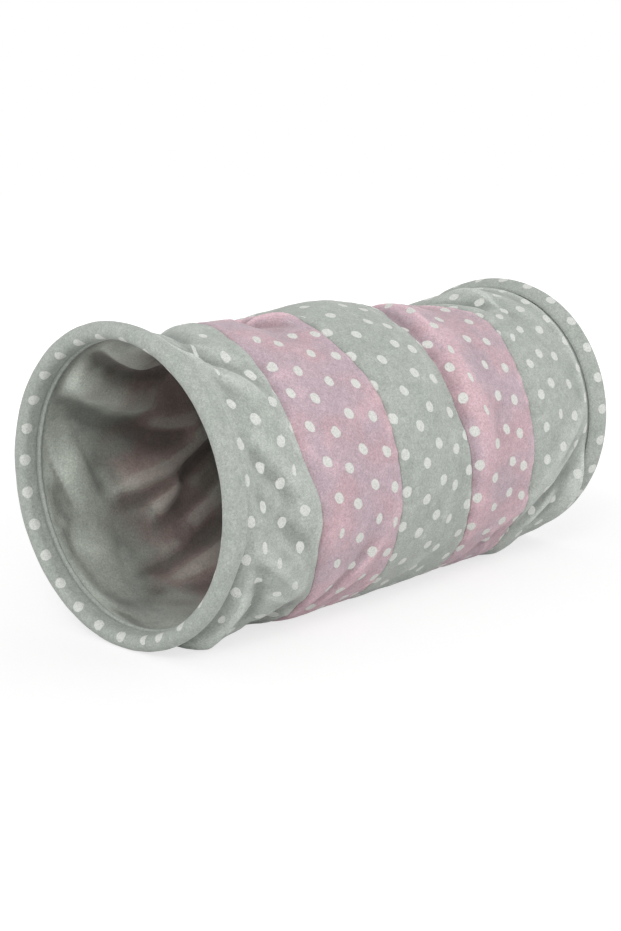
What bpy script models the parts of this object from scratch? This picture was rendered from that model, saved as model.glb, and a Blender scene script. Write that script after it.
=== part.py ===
"""Collapsible cloth play tunnel for a cat: two hooped ends joined by a padded cloth wall.

The tunnel lies along X with its front mouth at -X, and its origin is on the floor under
the middle. Every length is in metres and every angle round the tunnel is in degrees,
counted from the near side (-Y) up over the top (+Z, 90) to the far side (+Y, 180).
"""

import math

import bpy
import bmesh
from mathutils import Vector


# Driving dimensions: the two ends
HOOP_RADIUS = 0.1184          # centre line of each hoop
HOOP_SPACING = 0.466          # between the two hoops, at rest
HOOP_TUBE_RADIUS = 0.0045     # outside of the plastic tube each hoop is bent from
HOOP_TUBE_WALL = 0.0014
HOOP_END_GAP = 0.0006         # where the two ends of the tube meet over the joiner
JOINER_LENGTH = 0.036
JOINER_ANGLE = 262.0          # hidden near the floor, a little off the lowest point

# Driving dimensions: cloth
CASING_CLOTH = 0.0014
BAND_CLOTH = 0.0013
LINING_CLOTH = 0.0009
LIP_CLOTH = 0.0012            # the casing where it is pressed flat along its inner seam
CASING_REACH = 0.0128         # both edges of the casing, from the hoop's plane
STITCH_INSET = 0.0086         # topstitched row, from the hoop's plane
THREAD_RADIUS = 0.00035
FLAP_DROP = 0.0024            # underside of the outer edge, below the hoop's centre line

# Driving dimensions: fit and floor
CLEARANCE = 0.0003            # between pieces that touch
CASING_EASE = 0.0008          # the casing is sewn this much wider than the hoop
LINING_SLACK = 0.0040         # the lining hangs this much looser than the outer cloth
FLOOR_CUT = 0.0008            # each end is pressed flat on the floor by this much
WALL_LIFT = 0.0007            # the slack wall stops this far above the floor

# Driving dimensions: how the slack wall hangs
WALL_SWELL = 0.0085           # the wall is this much wider than its seat in the casings
WALL_SAG = 0.0100             # and its middle line drops this much
SWELL_POWER = 8.0             # how soon behind the ends it reaches both
FLOOR_SOFTNESS = 0.0030       # rounding where the wall comes to lie on the floor
ONSET_LENGTH = 0.012          # the wall leaves its straight seat over this length
STRAIGHT_SEAT = 0.0080        # the part of the wall held straight in the casing
SLOPE_SPAN = 0.0008           # the cloth's slope is taken this far to each side of a point

# How the lining follows the outer cloth's folds
LINING_HOLLOW_WIDTH = 0.026   # its hollows are at least this wide
LINING_CREST_SHARE = 0.45     # and its crests this share as high

# Facets
WALL_AROUND = 32
RIM_AROUND = 48
HOOP_STEPS = 40
TUBE_SIDES = 6
THREAD_SIDES = 5
CASING_ARC_STEPS = 8
BAND_STEPS = 9
LINING_STEPS = 12             # between the two places where it leaves its seats

# The four seams between the five bands: place along the wall, then how far the cloth
# has crept along the tunnel at each of the key angles.
KEY_ANGLES = (-90.0, -45.0, -10.0, 25.0, 65.0, 110.0, 180.0)
SEAMS = (
    (-0.140, (0.022, 0.013, -0.001, -0.019, -0.015, 0.003, 0.006)),
    (-0.053, (0.016, 0.009, 0.003, -0.001, -0.010, -0.006, 0.002)),
    (0.042, (0.020, 0.015, 0.000, -0.009, -0.006, 0.010, 0.004)),
    (0.131, (0.008, 0.004, -0.005, -0.004, 0.008, -0.006, 0.002)),
)

# Main folds: place along the wall, angle, rise (below zero for a hollow), half width
# across the crease, half length along it, and heading, where 0 runs round the tunnel
# and 90 runs along it.
FOLDS = (
    # Over the top, front to back
    (-0.170, 106.0, -0.0110, 0.0125, 0.085, 14.0),
    (-0.090, 96.0, -0.0070, 0.016, 0.055, -8.0),
    (-0.076, 88.0, -0.0050, 0.008, 0.032, -24.0),
    (-0.008, 98.0, 0.0072, 0.031, 0.095, 0.0),
    (0.052, 84.0, -0.0065, 0.010, 0.060, 10.0),
    (0.112, 100.0, -0.0085, 0.038, 0.075, 0.0),
    (0.080, 80.0, 0.0025, 0.012, 0.050, 6.0),
    (0.156, 90.0, -0.0080, 0.012, 0.050, -16.0),
    (0.184, 82.0, 0.0045, 0.012, 0.060, -10.0),
    # Down the near side
    (0.033, 28.0, -0.0080, 0.012, 0.090, 5.0),
    (0.060, 24.0, 0.0068, 0.014, 0.085, 5.0),
    (-0.188, 62.0, -0.0065, 0.010, 0.045, -50.0),
    (-0.199, 54.0, 0.0035, 0.008, 0.038, -50.0),
    (-0.170, 14.0, 0.0030, 0.012, 0.042, -50.0),
    (-0.174, -8.0, -0.0065, 0.012, 0.038, -50.0),
    (-0.172, -27.0, 0.0040, 0.009, 0.036, -50.0),
    (0.178, -20.0, -0.0070, 0.010, 0.065, 50.0),
    (0.158, -12.0, 0.0045, 0.012, 0.060, 50.0),
    # Low on the near side
    (-0.204, -72.0, 0.0150, 0.0125, 0.030, 0.0),
    (-0.158, -58.0, -0.0090, 0.013, 0.045, 14.0),
    (-0.108, -40.0, -0.0045, 0.009, 0.042, 34.0),
    (-0.092, -34.0, 0.0040, 0.009, 0.042, 34.0),
    (0.092, -44.0, -0.0040, 0.010, 0.045, 48.0),
    (0.205, -30.0, 0.0135, 0.016, 0.038, 10.0),
    (0.152, -64.0, 0.0050, 0.016, 0.030, 0.0),
    # Far side
    (-0.156, 156.0, 0.0060, 0.013, 0.065, 62.0),
    (-0.176, 140.0, -0.0060, 0.012, 0.065, 60.0),
    (-0.100, 178.0, 0.0050, 0.020, 0.060, 74.0),
    (-0.088, 198.0, -0.0050, 0.011, 0.060, 86.0),
    (-0.110, 230.0, -0.0045, 0.011, 0.050, 80.0),
    (0.030, 196.0, -0.0070, 0.016, 0.095, 6.0),
    (0.062, 190.0, 0.0050, 0.018, 0.080, 6.0),
    (-0.150, 238.0, 0.0080, 0.026, 0.060, 0.0),
    (0.158, 232.0, 0.0075, 0.026, 0.060, -10.0),
    (0.140, 160.0, -0.0050, 0.012, 0.060, 40.0),
)

# Towards the rear the hoop and the wall have settled out of round, most at one angle over
# the top: place along the tunnel, then how far inwards the cloth has moved there.
SLUMP_ANGLE = 108.0
SLUMP_SPREAD = 40.0
SLUMPS = ((-0.060, 0.0), (0.020, 0.0030), (0.080, 0.0045), (0.170, 0.0070), (0.240, 0.0062))

# Values that follow from the ones above
CASING_RADIUS = HOOP_TUBE_RADIUS + CASING_EASE + CASING_CLOTH
AXIS_HEIGHT = HOOP_RADIUS + CASING_RADIUS - FLOOR_CUT
BAND_RADIUS = HOOP_RADIUS - FLAP_DROP - CLEARANCE
LINING_RADIUS = BAND_RADIUS - BAND_CLOTH - CLEARANCE
FACET_DIP = math.cos(math.pi / WALL_AROUND)
LIP_RADIUS = (LINING_RADIUS - LINING_CLOTH) * FACET_DIP - CLEARANCE
WALL_END = HOOP_SPACING / 2 - HOOP_TUBE_RADIUS - 2 * CLEARANCE
LINING_LIFT = WALL_LIFT + BAND_CLOTH + CLEARANCE + LINING_SLACK / 2

SAGE = (0.478, 0.509, 0.470, 1.0)
PINK = (0.604, 0.429, 0.491, 1.0)
LINING_GREY = (0.300, 0.318, 0.290, 1.0)
THREAD_GREY = (0.420, 0.445, 0.410, 1.0)
CLEAR_PLASTIC = (0.620, 0.620, 0.600, 1.0)
JOINER_PLASTIC = (0.060, 0.060, 0.062, 1.0)


def clear_scene():
    for old in list(bpy.data.objects):
        bpy.data.objects.remove(old, do_unlink=True)


def make_material(name, colour, roughness, metallic=0.0):
    material = bpy.data.materials.new(name)
    material.use_nodes = True
    shader = material.node_tree.nodes["Principled BSDF"]
    shader.inputs["Base Color"].default_value = colour
    shader.inputs["Roughness"].default_value = roughness
    shader.inputs["Metallic"].default_value = metallic
    material.diffuse_color = colour
    return material


def add_object(name, mesh_data, material, parent):
    points, faces = mesh_data
    mesh = bpy.data.meshes.new(name)
    shape = bmesh.new()
    corners = [shape.verts.new(point) for point in points]
    for face in faces:
        shape.faces.new([corners[index] for index in face])
    bmesh.ops.recalc_face_normals(shape, faces=shape.faces)
    shape.to_mesh(mesh)
    shape.free()
    mesh.shade_smooth()
    mesh.set_sharp_from_angle(angle=math.radians(40.0))
    mesh.materials.append(material)
    item = bpy.data.objects.new(name, mesh)
    bpy.context.scene.collection.objects.link(item)
    item.parent = parent
    if parent:
        item.matrix_parent_inverse = parent.matrix_world.inverted()
    return item


def smooth_step(value):
    value = min(max(value, 0.0), 1.0)
    return value * value * (3.0 - 2.0 * value)


def ring_angles(count):
    """Corner angles of a ring in degrees; half a step off, so a facet lies on the floor."""
    return [360.0 * (step + 0.5) / count - 90.0 for step in range(count)]


def slump(x, angle):
    """How far inwards a point has settled, at a place along the tunnel and an angle."""
    depth = 0.0 if x < SLUMPS[0][0] else SLUMPS[-1][1]
    for (start, start_depth), (end, end_depth) in zip(SLUMPS, SLUMPS[1:]):
        if start <= x < end:
            depth = start_depth + (end_depth - start_depth) * smooth_step((x - start) / (end - start))
    turn = (angle - SLUMP_ANGLE + 180.0) % 360.0 - 180.0
    return depth * math.exp(-(turn / SLUMP_SPREAD) ** 2)


def around_axis(x, radius, angle):
    """World point at a place along the tunnel, a radius and an angle in degrees."""
    radius -= slump(x, angle)
    turn = math.radians(angle)
    return Vector((x, -radius * math.cos(turn), AXIS_HEIGHT + radius * math.sin(turn)))


def seam_creep(angle, creeps):
    """Smooth closed curve through the creep at each key angle."""
    spot = (angle - KEY_ANGLES[0]) % 360.0 + KEY_ANGLES[0]
    for index, start in enumerate(KEY_ANGLES):
        last = index == len(KEY_ANGLES) - 1
        end = KEY_ANGLES[0] + 360.0 if last else KEY_ANGLES[index + 1]
        if spot <= end:
            after = creeps[0] if last else creeps[index + 1]
            return creeps[index] + (after - creeps[index]) * smooth_step((spot - start) / (end - start))
    return creeps[0]


def wall_creep(place, angle):
    """How far the cloth at a place along the wall has moved along the tunnel."""
    places = [-WALL_END + STRAIGHT_SEAT] + [seam[0] for seam in SEAMS] + [WALL_END - STRAIGHT_SEAT]
    creeps = [0.0] + [seam_creep(angle, seam[1]) for seam in SEAMS] + [0.0]
    if place <= places[0] or place >= places[-1]:
        return 0.0
    for index in range(len(places) - 1):
        if place <= places[index + 1]:
            share = (place - places[index]) / (places[index + 1] - places[index])
            return creeps[index] + (creeps[index + 1] - creeps[index]) * smooth_step(share)
    return 0.0


def fold_rise(place, angle, fold):
    """Height of one fold at a point of the wall."""
    fold_place, fold_angle, rise, half_width, half_length, heading = fold
    turn = (angle - fold_angle + 180.0) % 360.0 - 180.0
    arc = math.radians(turn) * BAND_RADIUS
    along = place - fold_place
    cosine = math.cos(math.radians(heading))
    sine = math.sin(math.radians(heading))
    across_crease = along * cosine - arc * sine
    along_crease = along * sine + arc * cosine
    return rise * math.exp(-(across_crease / half_width) ** 2 - (along_crease / half_length) ** 2)


def lining_fold(fold):
    """The same fold in the looser lining: hollows wider, crests lower."""
    fold_place, fold_angle, rise, half_width, half_length, heading = fold
    if rise < 0.0:
        return (fold_place, fold_angle, rise, max(half_width, LINING_HOLLOW_WIDTH), half_length, heading)
    return (fold_place, fold_angle, rise * LINING_CREST_SHARE, half_width, half_length, heading)


LINING_FOLDS = tuple(lining_fold(fold) for fold in FOLDS)


def hang_cloth(place, angle, seat_radius, folds, lift):
    """Point of a cloth tube held at its two seats, sagging and resting on the floor."""
    from_seat = max(WALL_END - abs(place) - STRAIGHT_SEAT, 0.0)
    onset = smooth_step(from_seat / ONSET_LENGTH)
    swell = onset * (1.0 - (1.0 - from_seat / (WALL_END - STRAIGHT_SEAT)) ** SWELL_POWER)
    rise = onset * sum(fold_rise(place, angle, fold) for fold in folds)
    radius = seat_radius + WALL_SWELL * swell + rise
    point = around_axis(place + wall_creep(place, angle), radius, angle)
    height = point.z - WALL_SAG * swell
    over = (height - lift) / FLOOR_SOFTNESS
    rounded = lift + FLOOR_SOFTNESS * (max(over, 0.0) + math.log1p(math.exp(-abs(over))))
    return Vector((point.x, point.y, height + (rounded - height) * onset))


def band_point(place, angle, depth):
    """Point at a depth inside the outer face of the bands."""
    turn = math.degrees(SLOPE_SPAN / BAND_RADIUS)

    def face(at_place, at_angle):
        return hang_cloth(at_place, at_angle, BAND_RADIUS, FOLDS, WALL_LIFT)

    along = face(place + SLOPE_SPAN, angle) - face(place - SLOPE_SPAN, angle)
    round_it = face(place, angle + turn) - face(place, angle - turn)
    return face(place, angle) - along.cross(round_it).normalized() * depth


def lining_point(place, angle, depth):
    """Point at a depth inside the outer face of the lining."""
    from_seat = WALL_END - abs(place) - STRAIGHT_SEAT
    slack = LINING_SLACK * smooth_step(from_seat / ONSET_LENGTH)
    return hang_cloth(
        place, angle, LINING_RADIUS - slack - depth, LINING_FOLDS, LINING_LIFT + depth)


def bridge_rings(ring_count, ring_size, close_rings):
    """Quads between neighbouring rings of points, each ring closed on itself."""
    faces = []
    last = ring_count if close_rings else ring_count - 1
    for ring in range(last):
        after = (ring + 1) % ring_count
        for step in range(ring_size):
            beside = (step + 1) % ring_size
            faces.append((
                ring * ring_size + step,
                ring * ring_size + beside,
                after * ring_size + beside,
                after * ring_size + step,
            ))
    return faces


def cloth_tube(places, surface_point, thickness):
    """Tube of cloth with its own thickness, through the given places along the wall.

    Both faces of the cloth bend along the same diagonals, so they never meet in a fold.
    """
    outside = []
    inside = []
    for place in places:
        outside += [surface_point(place, angle, 0.0) for angle in ring_angles(WALL_AROUND)]
        inside += [surface_point(place, angle, thickness) for angle in ring_angles(WALL_AROUND)]
    inner = len(outside)
    faces = []
    for near, beside, opposite, after in bridge_rings(len(places), WALL_AROUND, False):
        if (outside[near] - outside[opposite]).length < (outside[beside] - outside[after]).length:
            halves = ((near, beside, opposite), (near, opposite, after))
        else:
            halves = ((near, beside, after), (beside, opposite, after))
        for half in halves:
            faces.append(half)
            faces.append(tuple(inner + corner for corner in reversed(half)))
    last_ring = inner - WALL_AROUND
    for step in range(WALL_AROUND):
        beside = (step + 1) % WALL_AROUND
        faces.append((beside, step, inner + step, inner + beside))
        faces.append((last_ring + step, last_ring + beside, inner + last_ring + beside, inner + last_ring + step))
    return outside + inside, faces


def even_places(start, end, steps):
    return [start + (end - start) * step / steps for step in range(steps + 1)]


def band_places(start, end):
    """Places along one band; the end bands have a station where they leave the casing."""
    if start == -WALL_END:
        return [start] + even_places(start + STRAIGHT_SEAT, end, BAND_STEPS - 1)
    if end == WALL_END:
        return even_places(start, end - STRAIGHT_SEAT, BAND_STEPS - 1) + [end]
    return even_places(start, end, BAND_STEPS)


def turned_ring(outline, plane, inward):
    """Closed ring turned from an outline of (towards the middle, from the hoop) pairs."""
    points = []
    for angle in ring_angles(RIM_AROUND):
        for reach, out in outline:
            points.append(around_axis(plane + inward * reach, HOOP_RADIUS + out, angle))
    return points, bridge_rings(RIM_AROUND, len(outline), True)


def tangent_turn(reach, out, radius):
    """Turn at which a line from a point touches a circle round the hoop, on its far side."""
    return math.atan2(out, reach) + math.acos(radius / math.hypot(reach, out))


def casing_outline():
    """Section of a casing: round the hoop, with an outer flap and an inner lip on the wall."""
    inner_radius = CASING_RADIUS - CASING_CLOTH
    lip_top = LIP_RADIUS - HOOP_RADIUS
    lip_face = lip_top - LIP_CLOTH
    flap_face = CASING_CLOTH - FLAP_DROP
    outer_start = tangent_turn(CASING_REACH, flap_face, CASING_RADIUS)
    inner_start = tangent_turn(CASING_REACH, -FLAP_DROP, inner_radius)
    outer_end = 2.0 * math.pi + math.asin(max(lip_face / CASING_RADIUS, -1.0))
    inner_end = 2.0 * math.pi + math.asin(max(lip_top / inner_radius, -1.0))
    outline = [(CASING_REACH, flap_face)]
    for step in range(CASING_ARC_STEPS + 1):
        turn = outer_start + (outer_end - outer_start) * step / CASING_ARC_STEPS
        outline.append((CASING_RADIUS * math.cos(turn), CASING_RADIUS * math.sin(turn)))
    outline.append((CASING_REACH, lip_face))
    outline.append((CASING_REACH, lip_top))
    if lip_top < -inner_radius:
        outline.append((inner_radius / 2, lip_top))
    for step in range(CASING_ARC_STEPS + 1):
        turn = inner_end + (inner_start - inner_end) * step / CASING_ARC_STEPS
        outline.append((inner_radius * math.cos(turn), inner_radius * math.sin(turn)))
    outline.append((CASING_REACH, -FLAP_DROP))
    return outline


def press_on_floor(item):
    """Cut the lowest part of an end level with the floor."""
    shape = bmesh.new()
    shape.from_mesh(item.data)
    everything = shape.verts[:] + shape.edges[:] + shape.faces[:]
    bmesh.ops.bisect_plane(
        shape, geom=everything, plane_co=(0.0, 0.0, 0.0), plane_no=(0.0, 0.0, -1.0), clear_outer=True)
    open_edges = [edge for edge in shape.edges if edge.is_boundary]
    bmesh.ops.holes_fill(shape, edges=open_edges)
    bmesh.ops.recalc_face_normals(shape, faces=shape.faces)
    shape.to_mesh(item.data)
    shape.free()


def circle_outline(radius, sides, reach=0.0, out=0.0):
    turns = [2.0 * math.pi * (side + 0.5) / sides for side in range(sides)]
    return [(reach + radius * math.cos(turn), out + radius * math.sin(turn)) for turn in turns]


def hoop_step_sizes():
    """Half the gap between the tube's ends and one facet of the tube, in degrees."""
    half_gap = math.degrees(HOOP_END_GAP / 2 / HOOP_RADIUS)
    return half_gap, (360.0 - 2 * half_gap) / HOOP_STEPS


def hoop_point(plane, reach, out, turn):
    """Point on the facets of the bent tube, at a turn in degrees from where it joins."""
    half_gap, step = hoop_step_sizes()
    side = math.copysign(1.0, turn)
    facets = max(abs(turn) - half_gap, 0.0) / step
    near = JOINER_ANGLE + side * (half_gap + math.floor(facets) * step)
    near_point = around_axis(plane + reach, HOOP_RADIUS + out, near)
    far_point = around_axis(plane + reach, HOOP_RADIUS + out, near + side * step)
    return near_point.lerp(far_point, facets - math.floor(facets))


def hoop_tube(plane):
    """Plastic tube bent round from the joiner and back to it, open at both ends."""
    half_gap, step = hoop_step_sizes()
    turns = [half_gap + step * index for index in range(HOOP_STEPS + 1)]
    outside = circle_outline(HOOP_TUBE_RADIUS, TUBE_SIDES)
    bore = circle_outline(HOOP_TUBE_RADIUS - HOOP_TUBE_WALL, TUBE_SIDES)
    points = []
    for turn in turns:
        points += [around_axis(plane + reach, HOOP_RADIUS + out, JOINER_ANGLE + turn) for reach, out in outside]
    for turn in reversed(turns):
        points += [around_axis(plane + reach, HOOP_RADIUS + out, JOINER_ANGLE + turn) for reach, out in bore]
    return points, bridge_rings(2 * len(turns), TUBE_SIDES, True)


def hoop_joiner(plane):
    """Plug inside the tube's bore, across the place where its ends meet."""
    half_gap, step = hoop_step_sizes()
    half_length = math.degrees(JOINER_LENGTH / 2 / HOOP_RADIUS)
    bends = [half_gap + step * index for index in range(HOOP_STEPS // 2)]
    one_side = [bend for bend in bends if bend < half_length] + [half_length]
    turns = [-turn for turn in reversed(one_side)] + one_side
    plug_radius = HOOP_TUBE_RADIUS - HOOP_TUBE_WALL - CLEARANCE / math.cos(math.pi / TUBE_SIDES)
    outline = circle_outline(plug_radius, TUBE_SIDES)
    points = []
    for turn in turns:
        points += [hoop_point(plane, reach, out, turn) for reach, out in outline]
    faces = bridge_rings(len(turns), TUBE_SIDES, False)
    faces.append(tuple(range(TUBE_SIDES)))
    faces.append(tuple(len(points) - 1 - index for index in range(TUBE_SIDES)))
    return points, faces


def build_end(prefix, plane, inward, parent, materials):
    """One end of the tunnel: hoop, its casing and the casing's topstitched row."""
    add_object(prefix + "_hoop", hoop_tube(plane), materials["hoop"], parent)
    add_object(prefix + "_hoop_joiner", hoop_joiner(plane), materials["joiner"], parent)
    casing = add_object(
        prefix + "_rim_casing", turned_ring(casing_outline(), plane, inward),
        materials[prefix + "_casing"], parent)
    press_on_floor(casing)
    row_out = LIP_RADIUS - LIP_CLOTH - CLEARANCE - THREAD_RADIUS - HOOP_RADIUS
    thread = circle_outline(THREAD_RADIUS, THREAD_SIDES, STITCH_INSET, row_out)
    add_object(
        prefix + "_rim_stitching", turned_ring(thread, plane, inward), materials["thread"], parent)


def build_bands(materials):
    """The five bands of the outer cloth, seam to seam."""
    edges = [-WALL_END] + [seam[0] for seam in SEAMS] + [WALL_END]
    names = ("band_1_grey", "band_2_pink", "band_3_grey", "band_4_pink", "band_5_grey")
    for index, name in enumerate(names):
        start = edges[index] + (CLEARANCE / 2 if index > 0 else 0.0)
        end = edges[index + 1] - (CLEARANCE / 2 if index < len(names) - 1 else 0.0)
        tube = cloth_tube(band_places(start, end), band_point, BAND_CLOTH)
        add_object(name, tube, materials[name], None)


def build_lining(material):
    """The plain cloth tube inside the bands, in one length from casing to casing."""
    seat_end = WALL_END - STRAIGHT_SEAT
    free_end = seat_end - ONSET_LENGTH
    places = [-WALL_END, -seat_end, -(seat_end + free_end) / 2]
    places += even_places(-free_end, free_end, LINING_STEPS)
    places += [(seat_end + free_end) / 2, seat_end, WALL_END]
    add_object("lining", cloth_tube(places, lining_point, LINING_CLOTH), material, None)


def main():
    clear_scene()
    materials = {
        "hoop": make_material("hoop_plastic", CLEAR_PLASTIC, 0.35),
        "joiner": make_material("joiner_plastic", JOINER_PLASTIC, 0.45),
        "thread": make_material("thread", THREAD_GREY, 0.80),
        "front_casing": make_material("front_casing_cloth", SAGE, 0.92),
        "rear_casing": make_material("rear_casing_cloth", SAGE, 0.92),
    }
    for name, colour in (
            ("band_1_grey", SAGE), ("band_2_pink", PINK), ("band_3_grey", SAGE),
            ("band_4_pink", PINK), ("band_5_grey", SAGE)):
        materials[name] = make_material(name + "_cloth", colour, 0.92)
    rear_end = bpy.data.objects.new("rear_end_slide", None)
    rear_end.location = (HOOP_SPACING / 2, 0.0, AXIS_HEIGHT)
    bpy.context.scene.collection.objects.link(rear_end)
    bpy.context.view_layer.update()
    build_end("front", -HOOP_SPACING / 2, 1.0, None, materials)
    build_end("rear", HOOP_SPACING / 2, -1.0, rear_end, materials)
    build_bands(materials)
    build_lining(make_material("lining_cloth", LINING_GREY, 0.92))
    bpy.context.view_layer.update()


main()
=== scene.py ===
"""Cloth play tunnel for a cat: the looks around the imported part.

Lengths are in metres unless a comment says millimetres. The tunnel lies along X with its
front mouth at -X. Angles round the tunnel are in degrees, from the near side (-Y, 0) up
over the top (90) to the far side (180). A place is where a spot of the wall cloth lies
along X before the cloth creeps along the tunnel.
"""

import math

import bpy
import numpy as np
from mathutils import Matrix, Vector, noise


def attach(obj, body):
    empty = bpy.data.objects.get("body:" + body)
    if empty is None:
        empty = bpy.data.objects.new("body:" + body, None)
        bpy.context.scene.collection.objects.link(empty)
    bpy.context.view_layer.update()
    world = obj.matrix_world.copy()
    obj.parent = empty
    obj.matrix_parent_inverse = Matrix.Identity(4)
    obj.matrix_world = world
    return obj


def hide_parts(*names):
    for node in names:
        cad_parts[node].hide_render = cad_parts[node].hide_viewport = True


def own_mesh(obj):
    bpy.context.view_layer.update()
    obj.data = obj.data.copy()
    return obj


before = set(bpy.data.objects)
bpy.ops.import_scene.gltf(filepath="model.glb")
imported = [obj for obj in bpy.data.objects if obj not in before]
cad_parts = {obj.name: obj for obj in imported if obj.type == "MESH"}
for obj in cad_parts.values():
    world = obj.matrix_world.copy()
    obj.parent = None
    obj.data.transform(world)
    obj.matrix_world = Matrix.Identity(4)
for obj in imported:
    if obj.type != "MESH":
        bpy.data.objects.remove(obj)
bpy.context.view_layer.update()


def metres(rows, columns):
    """Table rows with the numbered columns turned from millimetres into metres."""
    return tuple(tuple(value / 1000.0 if number in columns else value
                       for number, value in enumerate(row)) for row in rows)


# The two ends, as in the part's source
HOOP_RADIUS = 0.1184
HOOP_SPACING = 0.466
CASING_RADIUS = 0.0067
CASING_CLOTH = 0.0014
CASING_REACH = 0.0128
LIP_OUT = -0.00605  # top of the inner lip, from the hoop's centre line
STITCH_INSET = 0.0086
CLEARANCE = 0.0003
AXIS_HEIGHT = 0.1243
BAND_RADIUS = 0.1157
BAND_CLOTH = 0.0013
LINING_RADIUS = 0.1141
LINING_CLOTH = 0.0009
LINING_SLACK = 0.0040
LINING_EASE = 0.036  # over which the lining comes away from the bands
LINING_GAP = 0.0008  # more room between the lining and the bands, off the seats
LINING_SOFTNESS = 0.0002  # how softly the bands push the lining in
WALL_END = 0.2279
WALL_LIFT = 0.0007
FLOOR_LIFT = 0.0003  # the lowest that any band hangs
FLOOR_EASE = 0.0003  # how softly the bands come down on it
RIM_LIFT = 0.0001  # the same two for the casings
RIM_EASE = 0.00025
LINING_LIFT = 0.0043

# How the slack wall hangs, as in the part's source
WALL_SWELL = 0.0085
WALL_SAG = 0.0100
SWELL_POWER = 8.0
FLOOR_SOFTNESS = 0.0030
ONSET_LENGTH = 0.012
STRAIGHT_SEAT = 0.0080
LINING_HOLLOW_WIDTH = 0.026
LINING_CREST_SHARE = 0.45
KEY_ANGLES = (-90.0, -45.0, -10.0, 25.0, 65.0, 110.0, 180.0)
SEAMS = (
    (-0.140, (0.022, 0.013, -0.001, -0.019, -0.015, 0.003, 0.006)),
    (-0.053, (0.016, 0.009, 0.003, -0.001, -0.010, -0.006, 0.002)),
    (0.042, (0.020, 0.015, 0.000, -0.009, -0.006, 0.010, 0.004)),
    (0.131, (0.008, 0.004, -0.005, -0.004, 0.008, -0.006, 0.002)),
)
# Main folds, with lengths in millimetres: place, angle, rise, half width across, half
# length along, heading
FOLD_LENGTHS = (0, 2, 3, 4)
FOLDS = metres((
    (-170, 106, -11, 12.5, 85, 14), (-90, 96, -7, 16, 55, -8), (-76, 88, -5, 8, 32, -24),
    (-8, 98, 7.2, 31, 95, 0), (52, 84, -6.5, 10, 60, 10), (112, 100, -8.5, 38, 75, 0),
    (80, 80, 2.5, 12, 50, 6), (156, 90, -8, 12, 50, -16), (184, 82, 4.5, 12, 60, -10),
    (33, 28, -8, 12, 90, 5), (60, 24, 5.2, 18, 85, 5), (-188, 62, -6.5, 10, 45, -50),
    (-199, 54, 3.5, 8, 38, -50), (-170, 14, 3, 12, 42, -50), (-174, -8, -6.5, 12, 38, -50),
    (-172, -27, 4, 9, 36, -50), (178, -20, -7, 10, 65, 50), (158, -12, 4.5, 12, 60, 50),
    (-204, -72, 15, 12.5, 30, 0), (-158, -58, -9, 13, 45, 14), (-108, -40, -4.5, 9, 42, 34),
    (-92, -34, 4, 9, 42, 34), (92, -44, -4, 10, 45, 48), (205, -30, 13.5, 16, 38, 10),
    (152, -64, 5, 16, 30, 0), (-156, 156, 6, 13, 65, 62), (-176, 140, -6, 12, 65, 60),
    (-100, 178, 5, 20, 60, 74), (-88, 198, -5, 11, 60, 86), (-110, 230, -4.5, 11, 50, 80),
    (30, 196, -7, 16, 95, 6), (62, 190, 5, 18, 80, 6), (-150, 238, 8, 26, 60, 0),
    (158, 232, 7.5, 26, 60, -10), (140, 160, -5, 12, 60, 40),
), FOLD_LENGTHS)

# Towards the rear the hoop and the wall have settled out of round, as in the part's source:
# place along the tunnel, then how far inwards the cloth has moved there.
SLUMP_ANGLE = 108.0
SLUMP_SPREAD = 40.0
SLUMPS = ((-0.060, 0.0), (0.020, 0.0030), (0.080, 0.0045), (0.170, 0.0070), (0.240, 0.0062))

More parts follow.
